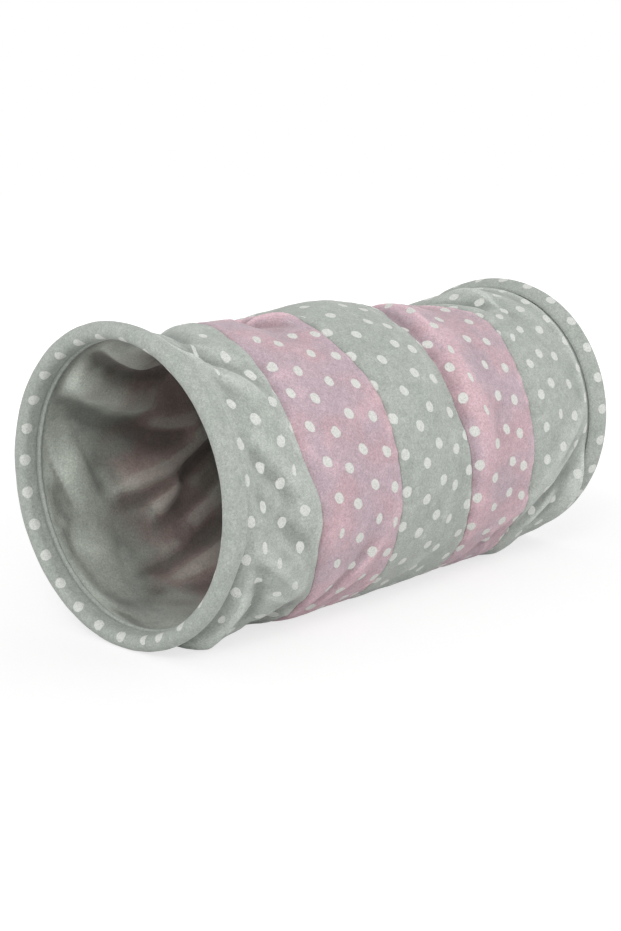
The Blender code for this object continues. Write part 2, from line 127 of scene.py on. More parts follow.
# Finer creases of the outer cloth, with lengths in millimetres: from place, angle to place,
# angle, rise, and the half widths of the crease's two sides.
CREASE_LENGTHS = (0, 2, 4, 5, 6)
CREASES = metres((
    # band 1
    (-220, 62, -190, 57, 2.6, 3, 6), (-196, 58, -162, 43, 2, 3, 8),
    (-196, 82, -178, 70, 2.2, 3, 6), (-202, 70, -178, 56, 2.6, 9, 9),
    (-206, 23, -166, 1, -7.2, 12, 12), (-215, 2, -156, -24, 2.2, 7, 10),
    (-205, -20, -172, -30, -3, 6, 6), (-206, -30, -209, -62, 4.2, 4.5, 5),
    (-197, -26, -190, -50, -5.2, 4, 6), (-186, -34, -160, -40, 2, 4, 5),
    (-212, -34, -204, -72, 1.6, 3, 5), (-186, -44, -172, -66, -2.2, 5, 5),
    (-166, -48, -134, -58, 1.4, 4, 5),
    # band 2
    (-110, 92, -72, 95, 3, 4, 4), (-74, 95, -52, 80, 3, 4, 4), (-94, 103, -50, 98, -6, 7, 6),
    (-116, -50, -74, -22, 1.6, 3, 5), (-122, -58, -60, -34, -1.4, 4, 4),
    (-104, -60, -50, -42, 1.4, 3, 4), (-112, 30, -70, 16, -0.8, 12, 12),
    # band 3
    (14, 106, 22, 70, 1.4, 5, 4), (34, 96, 40, 64, 2, 3, 3), (0, -30, 18, -2, 1.2, 6, 8),
    (-30, -50, 8, -32, 1.2, 5, 6),
    # band 4
    (66, 98, 59, 58, 2.4, 3, 4), (52, 90, 48, 58, -2.5, 4, 4), (90, 90, 124, 70, 2.8, 4, 3),
    (66, 70, 86, 44, -1.2, 6, 6), (76, 30, 70, -30, -0.6, 7, 9), (78, -30, 112, -56, 1.4, 4, 5),
    # band 5
    (182, 98, 168, 66, 3.5, 3, 4), (160, 96, 152, 66, -4, 6, 6), (196, 96, 208, 74, 2.2, 3, 3),
    (206, 4, 166, -10, -1.8, 5, 5), (200, -2, 156, -18, 1.4, 4, 5),
    (214, -4, 182, -16, 2.6, 4, 4), (184, -15, 150, -40, 2.6, 4, 5),
    (190, -22, 160, -42, -2.8, 6, 5), (204, -24, 216, -40, -1.6, 4, 4),
    (180, 40, 206, 18, -1, 8, 8),
    # far side
    (-214, 120, -168, 148, -1.6, 5, 6), (-206, 164, -150, 178, 1.6, 5, 7),
    (-180, 196, -150, 224, -1.6, 6, 5), (-120, 140, -70, 156, 1.4, 6, 6),
    (-100, 208, -60, 190, -1.4, 6, 6), (10, 150, 16, 196, 1.4, 6, 6),
    (60, 130, 96, 152, -1.4, 6, 6), (80, 200, 116, 224, 1.6, 6, 6),
    (160, 130, 206, 150, -1.6, 6, 6), (166, 190, 200, 214, 1.6, 6, 6),
), CREASE_LENGTHS)
CREASE_BOW = 0.24  # how far a crease bows between its ends, for its length
CREASE_END = 0.010  # how far it runs out past its ends
CREASE_END_SHARE = 0.35  # how high it still is there
CREASE_POWER = 1.6  # how sharp its top is

# Folds that carry the main hollow at the third seam nearer to the seam, as the main folds
SEAM_FOLDS = metres((
    (32, 28, 5.5, 12, 85, 5), (45, 26, -3.4, 10, 75, 5),
), FOLD_LENGTHS)

# Where the band before a seam stands proud of the band after it: which seam, how far the
# later band drops, and from which angle to which.
SEAM_STEPS = (
    (0, 0.0030, -40.0, 74.0), (1, 0.0010, -30.0, 60.0), (2, 0.0016, -40.0, 86.0),
    (3, 0.0014, -40.0, 50.0),
)
STEP_EASE = 24.0  # degrees over which a step comes and goes
STEP_WIDTHS = (0.0015, 0.011)  # before the seam and after it
# Height and reach of the groove along a seam, and of the puckers beside seams and casings
SEAM_GROOVE = (-0.0008, 0.0032)
SEAM_PUCKER = (0.00045, 0.0085)
CASING_PUCKER = (0.0006, 0.014)

# Creases that only the lining has; a negative rise comes out into the tunnel.
LINING_CREASES = metres((
    (-228, 104, -104, 136, -6, 18, 6), (-205, 123, -95, 145, 6, 14, 14),
    (-226, 134, -112, 158, -10.5, 19, 12), (-206, 152, -72, 175, 4.8, 10, 15),
    (-112, 168, -52, 167, -6.2, 13, 11), (-206, 184, -178, 178, -8.2, 26, 28),
    (-148, 193, -36, 176, -11, 24, 6), (-140, 201, -28, 182, 4, 6, 6),
    (-120, 206, -80, 193, -11, 20, 7), (-88, 213, -26, 199, -6.5, 6, 14),
    (-158, 230, -56, 215, 4, 7, 7), (-145, 238, -50, 224, -6, 7, 18),
    (-208, 213, -170, 219, -4.6, 24, 24), (-222, 228, -200, 252, -4.5, 9, 9),
    (-192, 240, -172, 264, 2.2, 12, 14), (-154, 240, -138, 262, -5, 14, 14),
    (-60, 176, 10, 168, -6, 14, 7), (-30, 214, 50, 226, -6, 8, 14), (-70, 128, 0, 140, -7, 16, 8),
    (-200, 92, -120, 110, -1.4, 14, 12), (30, 150, 100, 170, -6, 12, 8),
    (60, 200, 140, 190, -6, 12, 10), (-120, 30, -60, 10, -4, 12, 12),
    (40, 20, 120, 30, -4, 12, 12),
), CREASE_LENGTHS)

# White dots, band by band. Each column has the degrees of its first dot, then, by turns, an
# angle and where the column runs there, in hundredths of the band's width from its first seam.
DOT_COLUMNS = (
    (
        (10.4, -47, 13, -32, 10, -19, 9, -4, 7, 10, 4, 24, 9, 39, 18, 54, 27, 76, 46, 180, 10),
        (2, -41, 35, -27, 30, -12, 25, 2, 25, 16, 32, 32, 44, 46, 54, 60, 66, 76, 74, 180, 34),
        (10.4, -33, 53, -18, 44, -4, 50, 10, 56, 25, 74, 39, 86, 53, 80, 76, 92, 180, 58),
        (0, -54, 88, -28, 66, -15, 74, 0, 76, 14, 73, 24, 96, 60, 103, 180, 84),
    ),
    (
        (1.5, -40, 24, -28, 23, 2, 21, 16, 21, 29, 18, 41, 14, 53, 9, 70, 24, 180, 10),
        (11, -36, 45, -16, 46, -2, 41, 26, 40, 37, 33, 49, 31, 64, 40, 76, 44, 180, 34),
        (3, -40, 67, -24, 66, -10, 69, 4, 63, 17, 60, 42, 55, 55, 60, 70, 70, 180, 58),
        (0.2, -34, 89, -14, 89, 0, 87, 14, 85, 27, 79, 40, 80, 53, 85, 67, 91, 180, 82),
    ),
    (
        (10.7, -40, 3, -3, 5, 11, 7, 24, 4, 36, 0, 49, 1, 63, 4, 180, 1),
        (5.9, -32, 21, -22, 29, -8, 31, 20, 33, 34, 29, 47, 28, 86, 26, 180, 24),
        (11.9, -30, 47, -17, 48, -2, 53, 26, 55, 40, 55, 54, 58, 66, 55, 180, 47),
        (8.4, -33, 60, -20, 68, -5, 71, 8, 77, 22, 86, 37, 77, 61, 71, 180, 70),
        (12.4, -32, 88, -16, 94, -1, 94, 14, 98, 28, 106, 40, 102, 52, 97, 180, 96),
    ),
    (
        (13.1, -30, 5, 0, 7, 12, 7, 26, 8, 39, 11, 56, 6, 180, 8),
        (6.5, -22, 39, -6, 30, 8, 36, 20, 26, 33, 21, 46, 19, 62, 26, 180, 32),
        (11, -28, 61, -17, 64, -3, 62, 12, 54, 38, 54, 52, 52, 62, 42, 180, 58),
        (8.1, -40, 99, -22, 88, -6, 80, 8, 74, 21, 75, 35, 79, 48, 73, 65, 78, 180, 84),
    ),
    (
        (11.7, -3, -4, 11, -7, 42, -7, 56, 0, 180, 2),
        (7.6, -20, 26, -6, 20, 8, 19, 20, 20, 34, 20, 46, 12, 65, 28, 180, 24),
        (10.9, -32, 55, -18, 54, -2, 43, 12, 44, 25, 39, 38, 40, 50, 33, 62, 44, 180, 46),
        (7.9, -30, 80, -14, 78, 8, 65, 20, 70, 34, 62, 62, 64, 180, 68),
        (11.4, -2, 91, 10, 92, 24, 94, 38, 92, 54, 88, 180, 90),
    ),
)
DOT_ROWS = (25, 27, 26, 27, 27)
RIM_DOT_ROWS = 27
DOT_PITCH = 24.0  # millimetres between columns, along the flat cloth
DOT_RADIUS = 4.6  # millimetres
BAND_WIDTH = 0.105  # flat, between its two seams
# How the front casing's print drifts towards the mouth: angle, millimetres
RIM_PRINT_DRIFT = (
    (-90, 3.6), (-60, 2.2), (-30, -0.5), (40, -0.5), (90, 1.0), (150, 0.0), (210, 0.4), (240, 1.8),
    (270, 3.6),
)
PLACE_ONLY = (0,)
# Where a fold hides part of the cloth and a dot shows narrow, or not at all: place in
# millimetres, angle, how many times
DOT_PINCHES = metres((
    (-202, 54, 3.6), (-183, 73.2, 3.6), (-161, 13.5, 2.6), (-217, 10, 1.6), (-200, -12.5, 1.9),
    (-185, -18, 1.8), (-200, 2, 1.3), (-142, 24, 1.6), (-177, 45, 40), (-150, 68, 40),
    (-147, 82.4, 40), (-141, 72, 40), (-161, 88.4, 40), (-183, 82.4, 40), (-126, 81.5, 40),
    (-101.7, 77.7, 40), (-82.6, 83, 40), (-60.8, 80.2, 40), (-101.7, 91, 40), (-82.6, 96.3, 40),
    (-128, 41, 1.5), (-167, -28, 1.5), (-210, -47, 2.2), (-210, -62, 40), (-121, -12, 2),
    (-122, -28, 1.5), (-80, -10, 1.4), (-63, -14, 1.8), (59, 46, 2), (61, 33, 2.2), (65, 20, 1.8),
    (90, 38, 1.4), (139, 46, 1.8), (170, 12, 1.7), (214, 12, 1.5),
), PLACE_ONLY)
# Where a dot shows flat, the other way
DOT_FLATS = metres((
    (-193, -28, 1.8), (-180, -34, 2.2), (-187, -44, 2.2), (-150, -46, 1.8),
), PLACE_ONLY)
PINCH_REACH = 0.010
# Where the stretched cloth carries a dot off its row: place, angle, millimetres, degrees
DOT_SHIFTS = metres((
    (-164, 77.2, 2.5, -3.2), (-166, 62.8, -0.4, -3.2), (-156, 51.2, 1.3, 2.4),
    (-185, 34, 1.3, -3.2), (-183, 73.2, -2.6, -5.2), (-216, 22.8, 2.7, 2),
    (-130, 53.2, -2.3, 1.6), (-113, 48.8, 0.3, 2.2),
), PLACE_ONLY)
SHIFT_REACH = 0.011

GREY = (0.455, 0.485, 0.450)
PINK = (0.600, 0.422, 0.462)
GREY_BLOTCH = (-0.022, -0.014, -0.020)
PINK_BLOTCH = (-0.050, 0.004, 0.014)
DOT_WHITE = (0.765, 0.785, 0.740)
# Lit and shaded copies of the lining's grey: lighter near the mouths as painted light, darker deep in as
# painted shade, and pink as painted light through the pink bands, in shade.
LINING_LIT_GREY = (0.535, 0.573, 0.516)
LINING_DEEP_SHADE = (0.276, 0.245, 0.220)
LINING_PINK_LIGHT_SHADE = (0.345, 0.268, 0.250)
THREAD_GREY = (0.47, 0.50, 0.46)
TUBE_GREY = (0.62, 0.62, 0.60)
PLUG_GREY = (0.06, 0.06, 0.062)

AROUND = 264
RING = 360.0 * np.arange(AROUND) / AROUND - 90.0
ROW_STEP = 0.0022
LINING_ROW_STEP = 0.0026
SEAT_ROWS = 9
EDGE_ROWS = np.array([0.0, 0.00025, 0.0006, 0.0011, 0.0018])  # where an edge rolls into a seam
EDGE_ROLL = 0.0010  # how far the cloth rolls down at a sewn edge
EDGE_ROLL_WIDTH = 0.0017
WALL_CUT = 0.0002  # how far the free wall reaches under the casing's edges
FLAP_HOLD = 0.0016  # how far a casing's flap holds the wall flat beside it
FREE_END = HOOP_SPACING / 2 - CASING_REACH + WALL_CUT
SEAT_START = FREE_END + 0.0002

# On the near side the first band runs into the front casing with no groove between them.
BLEND_RISE = 0.0042
BLEND_FROM = -26.0
BLEND_TO = 66.0
BLEND_EASE = (18.0, 16.0)  # degrees over which it comes and goes
BLEND_REACH = 0.012

# Elsewhere the wall bulges close behind the casings.
SEAT_BULGE = 0.0022
SEAT_BULGE_AT = 0.004
SEAT_BULGE_WIDTH = 0.006

GROOVE_SHADE = 1.3  # how strongly the groove beside a casing is darkened
# What each value compares a point with: the mean over this many grid steps either way
PROUD_REACH = (("crest", 2), ("relief", 4), ("cavity", 11))
# The front casing's strip is joined here; its print starts afresh on the near side of the join.
CASING_JOIN_COLUMN = 11
CASING_JOIN_SHIFT = 4.6  # degrees

# How the stitches of the topstitched rows are sewn
STITCH_PITCH = 0.0032
STITCH_LENGTH = 0.0026
STITCH_THREAD = 0.00034
STITCH_DEPTH = 0.00668  # inwards from the hoop's centre line
STITCH_SINK = 0.0007  # how far its two ends go into the cloth
STITCH_SLANT = 6.0  # degrees
STITCH_SIDES = 6
STITCH_RINGS = 7

# Light and camera; the camera is fitted to the photograph's 621 by 931 frame.
SOFT_LIGHT = 0.655
LAMPS = (
    ("key", (-1.90, -1.35, 1.75), 1.0, 25.0),
    ("fill", (1.5, -1.8, 0.75), 1.4, 8.0),
    ("top", (0.6, 0.8, 2.2), 1.8, 1.0),
)
LAMP_AIM = Vector((0.0, 0.0, 0.1))
CAMERA_AZIMUTH = -47.844
CAMERA_ELEVATION = 11.879
CAMERA_DISTANCE = 1.3617
CAMERA_LENS = 61.76
CAMERA_SHIFT = (-0.02139, -0.02692)


def smooth_step(value):
    value = np.clip(value, 0.0, 1.0)
    return value * value * (3.0 - 2.0 * value)


def bell(away, width, power=2):
    """One at no distance, and falling off over the width to both sides."""
    return np.exp(-np.abs(away / width) ** power)


def length(vectors):
    return np.linalg.norm(vectors, axis=-1)


def turn_from(other, angle):
    """Degrees from one angle to another, the short way round."""
    return (angle - other + 180.0) % 360.0 - 180.0


def soft_floor(height, lift, softness):
    """Heights eased off a floor, so that none is below it."""
    return lift + softness * np.logaddexp(0.0, (height - lift) / softness)


def smooth_between(spot, keys, values):
    """The keys' values, joined by smooth steps and level before the first key and after the last."""
    result = values[0] + 0.0 * spot
    for start, end, first, last in zip(keys, keys[1:], values, values[1:]):
        share = smooth_step((spot - start) / (end - start))
        result = np.where(spot >= start, first + (last - first) * share, result)
    return result


def slump(x, angle):
    """How far inwards a point has settled, at a place along the tunnel and an angle."""
    return smooth_between(x, *zip(*SLUMPS)) * bell(turn_from(SLUMP_ANGLE, angle), SLUMP_SPREAD)


def wall_creep(place, angle):
    """How far the cloth at a place along the wall has moved along the tunnel."""
    held, keys = WALL_END - STRAIGHT_SEAT, KEY_ANGLES + (KEY_ANGLES[0] + 360.0,)
    spot = (angle - keys[0]) % 360.0 + keys[0]
    places = [-held] + [seam[0] for seam in SEAMS] + [held]
    creeps = [smooth_between(spot, keys, seam[1] + seam[1][:1]) for seam in SEAMS]
    return smooth_between(place, places, [0.0 * angle] + creeps + [0.0 * angle])


def fold_rise(place, angle, fold):
    fold_place, fold_angle, rise, half_width, half_length, heading = fold
    arc = np.radians(turn_from(fold_angle, angle)) * BAND_RADIUS
    along = place - fold_place
    cosine, sine = math.cos(math.radians(heading)), math.sin(math.radians(heading))
    across_crease = along * cosine - arc * sine
    along_crease = along * sine + arc * cosine
    return rise * np.exp(-(across_crease / half_width) ** 2 - (along_crease / half_length) ** 2)


def crease_rise(place, angle, crease):
    """A narrow crease between two spots, steeper on one side than on the other."""
    place_1, angle_1, place_2, angle_2, rise, width_1, width_2 = crease
    run = place_2 - place_1
    turn = math.radians(angle_2 - angle_1) * BAND_RADIUS
    reach = math.hypot(run, turn)
    arc = np.radians(turn_from(angle_1, angle)) * BAND_RADIUS
    along = ((place - place_1) * run + arc * turn) / reach
    aside = ((place - place_1) * -turn + arc * run) / reach
    share = np.clip(along / reach, 0.0, 1.0)
    aside = aside - CREASE_BOW * reach * (share * (1.0 - share))
    over = np.maximum(np.maximum(-along, along - reach), 0.0)
    middle = 1.0 - np.abs(2.0 * share - 1.0) ** 3
    taper = bell(over, CREASE_END) * (CREASE_END_SHARE + (1.0 - CREASE_END_SHARE) * middle)
    return rise * taper * bell(aside, np.where(aside < 0.0, width_1, width_2), CREASE_POWER)


def lining_fold(place, angle, rise, half_width, *rest):
    """A main fold as the lining follows it: wider hollows and lower crests."""
    if rise < 0.0:
        return place, angle, rise, max(half_width, LINING_HOLLOW_WIDTH), *rest
    return place, angle, rise * LINING_CREST_SHARE, half_width, *rest


LINING_FOLDS = tuple(lining_fold(*fold) for fold in FOLDS)


def near_blend(angle):
    """Share of the smooth run of the first band into the front casing, at each angle."""
    turn = turn_from(0.0, angle)
    return smooth_step((turn - BLEND_FROM) / BLEND_EASE[0]) * smooth_step((BLEND_TO - turn) / BLEND_EASE[1])


def hang_cloth(place, angle, seat_radius, folds, lift, bulge, detail, held=0.0):
    """Points of a cloth tube held at its two seats, sagging and resting on the floor."""
    from_seat = np.maximum(WALL_END - np.abs(place) - STRAIGHT_SEAT - held, 0.0)
    onset = smooth_step(from_seat / ONSET_LENGTH)
    swell = onset * (1.0 - (1.0 - from_seat / (WALL_END - STRAIGHT_SEAT)) ** SWELL_POWER)
    rise = onset * (sum(fold_rise(place, angle, fold) for fold in folds) + detail)
    early = bulge * bell(from_seat - SEAT_BULGE_AT, SEAT_BULGE_WIDTH)
    early = early * smooth_step(from_seat / SEAT_BULGE_AT)
    x = place + wall_creep(place, angle)
    radius = seat_radius + WALL_SWELL * swell + rise + early - slump(x, angle)
    turn = np.radians(angle)
    height = AXIS_HEIGHT + radius * np.sin(turn) - WALL_SAG * swell
    rounded = soft_floor(height, lift, FLOOR_SOFTNESS)
    return np.stack([x, -radius * np.cos(turn), height + (rounded - height) * onset], -1)


def ripples(place, angle, wave, seed):
    """Smooth noise over the cloth, about one wave to each wave length, from -1 to 1."""
    turn = np.radians(angle)
    y, z = (BAND_RADIUS * share(turn) / wave for share in (np.cos, np.sin))
    flat = np.stack([place / wave, y, z], -1).reshape(-1, 3) + seed * np.array([7.31, 3.17, 1.93])
    return np.array([noise.noise(Vector(spot)) for spot in flat]).reshape(place.shape) * 1.6


def seam_pull(place, angle):
    """The groove and small puckers that each sewn seam makes in the outer cloth."""
    total = 0.0 * place
    for index, seam in enumerate(SEAMS):
        away = place - seam[0]
        pucker = ripples(0.0 * place + index, angle, 0.0075, 40 + index)
        total = total + SEAM_GROOVE[0] * bell(away, SEAM_GROOVE[1])
        total = total + SEAM_PUCKER[0] * pucker * bell(away, SEAM_PUCKER[1], 1.5)
    for number, depth, from_angle, to_angle in SEAM_STEPS:
        away = place - SEAMS[number][0]
        window = smooth_step((angle - from_angle) / STEP_EASE) * smooth_step((to_angle - angle) / STEP_EASE)
        total = total - depth * window * bell(away, np.where(away < 0.0, *STEP_WIDTHS), CREASE_POWER)
    for side in (-1.0, 1.0):
        away = np.abs(place - side * FREE_END)
        pucker = ripples(0.0 * place + side, angle, 0.0090, 50 + side)
        pucker = pucker * CASING_PUCKER[0] * bell(away, CASING_PUCKER[1], 1.5)
        total = total + pucker * smooth_step(away / 0.004)
    return total


def outer_detail(place, angle):
    rise = sum(crease_rise(place, angle, crease) for crease in CREASES)
    rise = rise + sum(fold_rise(place, angle, fold) for fold in SEAM_FOLDS)
    rise = rise + 0.0010 * ripples(place, angle, 0.034, 1) + 0.00045 * ripples(place, angle, 0.014, 2)
    return rise + seam_pull(place, angle)


def lining_detail(place, angle):
    rise = sum(crease_rise(place, angle, crease) for crease in LINING_CREASES)
    return rise + 0.0010 * ripples(place, angle, 0.040, 3) + 0.0004 * ripples(place, angle, 0.016, 4)


def band_surface(place, angle):
    """Outer face of the bands, with the creases that only the looks have."""
    inside = place + FREE_END
    near = near_blend(angle) * smooth_step(1.0 + inside / 0.0075) * bell(inside, BLEND_REACH)
    bulge = SEAT_BULGE * (1.0 - near_blend(angle) * (place < 0.0))
    held = (BAND_RADIUS + BLEND_RISE * near, FOLDS, WALL_LIFT, bulge, outer_detail(place, angle), FLAP_HOLD)
    points = hang_cloth(place, angle, *held)
    points[..., 2] = soft_floor(points[..., 2], FLOOR_LIFT, FLOOR_EASE)
    return points


def lining_surface(place, angle):
    """Outer face of the lining, kept clear of the inner face of the bands."""
    from_seat = WALL_END - np.abs(place) - STRAIGHT_SEAT
    seat_radius = LINING_RADIUS - LINING_SLACK * smooth_step(from_seat / LINING_EASE)
    detail = lining_detail(place, angle)
    points = hang_cloth(place, angle, seat_radius, LINING_FOLDS, LINING_LIFT, 0.0, detail)
    radius, limit = (np.hypot(spots[..., 1], spots[..., 2] - AXIS_HEIGHT)
                     for spots in (points, band_surface(place, angle)))
    limit = limit - BAND_CLOTH - CLEARANCE - LINING_GAP * smooth_step(from_seat / ONSET_LENGTH)
    kept = -LINING_SOFTNESS * np.logaddexp(-radius / LINING_SOFTNESS, -limit / LINING_SOFTNESS)
    share = kept / radius
    height = AXIS_HEIGHT + (points[..., 2] - AXIS_HEIGHT) * share
    return np.stack([points[..., 0], points[..., 1] * share, height], -1)


def wall_grid(rows, surface):
    return surface(*np.meshgrid(rows, RING, indexing="ij"))


def across(points):
    """From each point's neighbour before it, round the tunnel, to the one after it."""
    return np.roll(points, -1, axis=1) - np.roll(points, 1, axis=1)


def under(points, depth):
    """Points moved inwards from a grid whose columns close round the tunnel."""
    normal = np.cross(np.gradient(points, axis=0), across(points) / 2.0)
    return points - normal / length(normal)[..., None] * depth


def blur_round(values, columns):
    """Running mean round the tunnel and along it."""
    total = sum(np.roll(values, shift, axis=1) for shift in range(-columns, columns + 1))
    total = total / (2 * columns + 1)
    padded = np.pad(total, ((columns, columns), (0, 0)), mode="edge")
    return sum(padded[shift:shift + len(values)] for shift in range(2 * columns + 1)) / (2 * columns + 1)


def column_marks(columns):
    """Where each column of dots runs round the ring, in hundredths of the band's width."""
    marks = []
    for _, *knots in columns:
        angles, values = knots[0::2] + [knots[0] + 360.0], knots[1::2] + [knots[1]]
        marks.append(np.interp((RING - angles[0]) % 360.0 + angles[0], angles, values))
    return np.array(marks)


def printed_marks(columns, share):
    """Millimetres along the printed cloth, so that each column falls on a whole number of pitches."""
    spot, pitches, marks = 100.0 * share, DOT_PITCH * np.arange(len(columns)), []
    for knots in column_marks(columns).T:
        past = np.minimum(spot - knots[0], 0.0) + np.maximum(spot - knots[-1], 0.0)
        marks.append(np.interp(spot, knots, pitches) + past * BAND_WIDTH * 10.0)
    return np.stack(marks, -1)


def even_rows(start, end, step):
    return np.linspace(start, end, max(int(round((end - start) / step)), 1) + 1)


def add_object(name, data):
    item = bpy.data.objects.new(name, data)
    bpy.context.scene.collection.objects.link(item)
    return item


def make_piece(name, points, faces, corners, values, material, body, slot, node=None):
    """A piece with its cloth coordinates on corners and its other values on points."""
    mesh = bpy.data.meshes.new(name)
    mesh.from_pydata(points.reshape(-1, 3).tolist(), [], faces)
    for map_name, pairs in corners.items():
        layer = mesh.uv_layers.new(name=map_name, do_init=False)
        layer.uv.foreach_set("vector", pairs.astype(np.float32).ravel())
    for value_name, numbers in values.items():
        layer = mesh.attributes.new(value_name, "FLOAT", "POINT")
        layer.data.foreach_set("value", numbers.astype(np.float32).ravel())
    rest = mesh.attributes.new("rest", "FLOAT_VECTOR", "POINT")
    rest.data.foreach_set("vector", points.astype(np.float32).ravel())
    mesh.shade_smooth()
    mesh.materials.append(material)
    item = add_object(name, mesh)
    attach(item, body)
    if node:
        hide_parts(node)
    return item


def tube_quads(rows, columns, first, turned):
    """Corner numbers of the quads between rows of a closed tube, and each corner's row and column."""
    row, column = (grid.ravel() for grid in np.indices((rows - 1, columns)))
    corner_rows = np.stack([row, row + 1, row + 1, row], -1)
    corner_columns = np.stack([column, column, column + 1, column + 1], -1)
    if turned:
        corner_rows, corner_columns = corner_rows[:, ::-1], corner_columns[:, ::-1]
    return first + corner_rows * columns + corner_columns % columns, corner_rows, corner_columns


def bake_spot(column_share, height):
    return np.stack([0.005 + 0.99 * column_share, height], -1)


def cloth_piece(name, outer, thickness_under, along, values, *looks, turned_by=None):
    """Tube of cloth from its outer points and the grid that its thickness is under, with closed ends.

    along is each point's distance along the flat cloth in millimetres, and turned_by the
    degrees by which the print there lies further round.
    """
    face, thickness = thickness_under
    rows, columns = outer.shape[:2]
    turned_by = 0.0 * along if turned_by is None else turned_by
    along, turned_by = (np.concatenate([grid, grid[:, :1]], axis=1) for grid in (along, turned_by))
    half = rows * columns
    quads, cloth, flat = [], [], []
    for first, turned in ((0, False), (half, True)):
        found, at_row, at_column = tube_quads(rows, columns, first, turned)
        spin = RING[0] + 360.0 * at_column / columns + turned_by[at_row, at_column]
        quads.append(found)
        cloth.append(np.stack([along[at_row, at_column], spin], -1))
        low = 0.505 if turned else 0.005
        flat.append(bake_spot(at_column / columns, low + 0.47 * at_row / (rows - 1)))
    step = np.arange(columns)
    for row, order, low in ((0, [0, 1, 3, 2], 0.980), (rows - 1, [1, 0, 2, 3], 0.990)):
        near, beside = row * columns + step, row * columns + (step + 1) % columns
        at = np.stack([step, step + 1, step, step + 1], -1)[:, order]
        depth = np.array([0.0, 0.0, 1.0, 1.0])[order] + 0.0 * at
        quads.append(np.stack([near, beside, half + near, half + beside], -1)[:, order])
        cloth.append(np.stack([along[row][at], RING[0] + 360.0 * at / columns], -1))
        flat.append(bake_spot(at / columns, low + 0.007 * depth))
    points = np.concatenate([outer.reshape(-1, 3), under(face, thickness).reshape(-1, 3)])
    corners = {"cloth": np.concatenate(cloth), "OFBake": np.concatenate(flat)}
    doubled = {key: np.tile(value.ravel(), 2) for key, value in values.items()}
    return make_piece(name, points, np.concatenate(quads).tolist(), corners, doubled, *looks)


def away_from(points, place, angle):
    """How far points lie from a spot of the outer wall."""
    return length(points - band_surface(np.array([[place]]), np.array([[angle]]))[0, 0])


def stretched(stretch, face, spots):
    """Millimetres of cloth per mark or degree, with the dots at the spots shown narrower."""
    for place, angle, times in spots:
        share = bell(away_from(face, place, angle), PINCH_REACH, 4)
        stretch = stretch * (1.0 + (times - 1.0) * share)
    return blur_round(stretch, 2)


def wall_values(face, marks):
    """For each point, how far the cloth is stretched and how far it stands proud."""
    along = length(np.gradient(face, axis=0)) * 1000.0
    along = along / np.maximum(np.abs(np.gradient(marks, axis=0)), 1e-6)
    radius = np.hypot(face[..., 1], face[..., 2] - AXIS_HEIGHT) * 1000.0
    return {
        "stretch_along": stretched(along, face, DOT_PINCHES),
        "stretch_round": stretched(round_millimetres(face), face, DOT_FLATS),
        **{name: radius - blur_round(radius, reach) for name, reach in PROUD_REACH},
    }


def round_millimetres(points):
    """Millimetres of cloth per degree round the tunnel."""
    return length(across(points)) * 500.0 / (360.0 / AROUND)


def print_shift(points):
    """How far the printed dots lie off their rows: millimetres along, degrees round."""
    along, round_it = 0.0 * points[..., 0], 0.0 * points[..., 0]
    for place, angle, further, turn in DOT_SHIFTS:
        share = bell(away_from(points, place, angle), SHIFT_REACH)
        along, round_it = along + further * share, round_it + turn * share
    return along, round_it


# Materials

